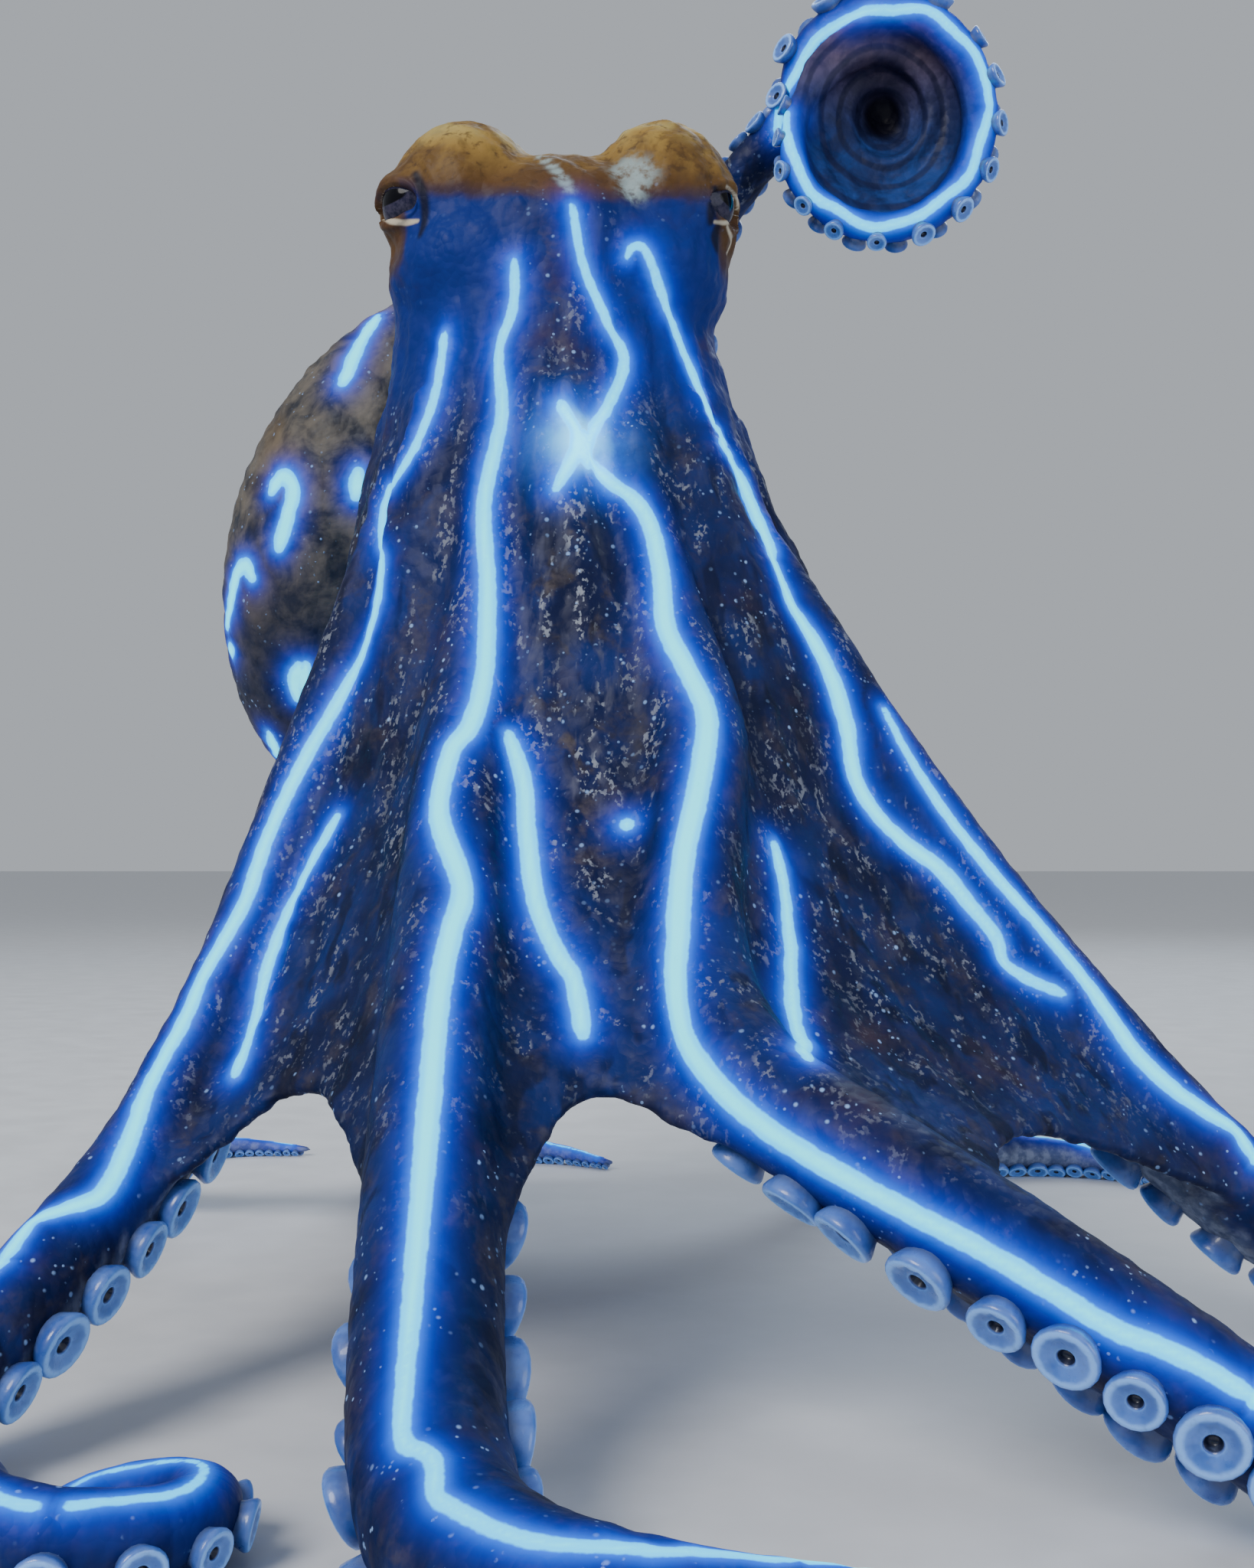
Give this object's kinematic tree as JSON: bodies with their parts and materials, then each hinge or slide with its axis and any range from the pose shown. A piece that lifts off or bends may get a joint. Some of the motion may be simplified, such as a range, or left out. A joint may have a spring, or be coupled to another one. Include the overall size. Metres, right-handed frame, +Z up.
{
  "type": "blue-lined octopus model",
  "caption": "Life-size octopus standing on its spread arms, mantle hanging behind, one arm raised in a coil, with bright blue lines.",
  "frame": {"origin": "on the floor, below the middle of the whole animal's box", "axes": "+X to the animal's left, where its second left arm reaches, +Y to its back, +Z up"},
  "size_m": [0.1178, 0.1096, 0.0838],
  "materials": {
    "head_skin": "wet skin, ochre above and dark blue below",
    "mantle_skin": "wet skin, olive brown",
    "siphon_skin": "wet skin, grey",
    "arm_skin": "wet skin, dark blue brown with bright lines and pale suckers",
    "web_skin": "wet skin, dark blue",
    "eye": "glossy"
  },
  "bodies": {
    "root": {"arm_l1_end": "arm_skin", "arm_l1_lower": "arm_skin", "arm_l1_middle": "arm_skin", "arm_l1_upper": "arm_skin", "arm_l2_end": "arm_skin", "arm_l2_middle": "arm_skin", "arm_l2_upper": "arm_skin", "arm_l3_bend": "arm_skin", "arm_l3_coil_a": "arm_skin", "arm_l3_coil_b": "arm_skin", "arm_l3_coil_c": "arm_skin", "arm_l3_coil_d": "arm_skin", "arm_l3_coil_e": "arm_skin", "arm_l3_coil_f": "arm_skin", "arm_l3_reach": "arm_skin", "arm_l3_rise": "arm_skin", "arm_l3_root": "arm_skin", "arm_l4_end": "arm_skin", "arm_l4_lower": "arm_skin", "arm_l4_middle": "arm_skin", "arm_l4_upper": "arm_skin", "arm_r1_end": "arm_skin", "arm_r1_foot": "arm_skin", "arm_r1_middle": "arm_skin", "arm_r1_upper": "arm_skin", "arm_r2_coil_a": "arm_skin", "arm_r2_coil_b": "arm_skin", "arm_r2_coil_c": "arm_skin", "arm_r2_lower": "arm_skin", "arm_r2_middle": "arm_skin", "arm_r2_upper": "arm_skin", "arm_r3_end": "arm_skin", "arm_r3_lower": "arm_skin", "arm_r3_middle": "arm_skin", "arm_r3_upper": "arm_skin", "arm_r4_end": "arm_skin", "arm_r4_lower": "arm_skin", "arm_r4_middle": "arm_skin", "arm_r4_upper": "arm_skin", "eye_left": "eye", "eye_right": "eye", "head": "head_skin", "mantle": "mantle_skin", "siphon": "siphon_skin", "web_l1_l2": "web_skin", "web_l2_l3": "web_skin", "web_l3_l4": "web_skin", "web_l4_r4": "web_skin", "web_r1_l1": "web_skin", "web_r2_r1": "web_skin", "web_r3_r2": "web_skin", "web_r4_r3": "web_skin"}
  },
  "joints": []
}
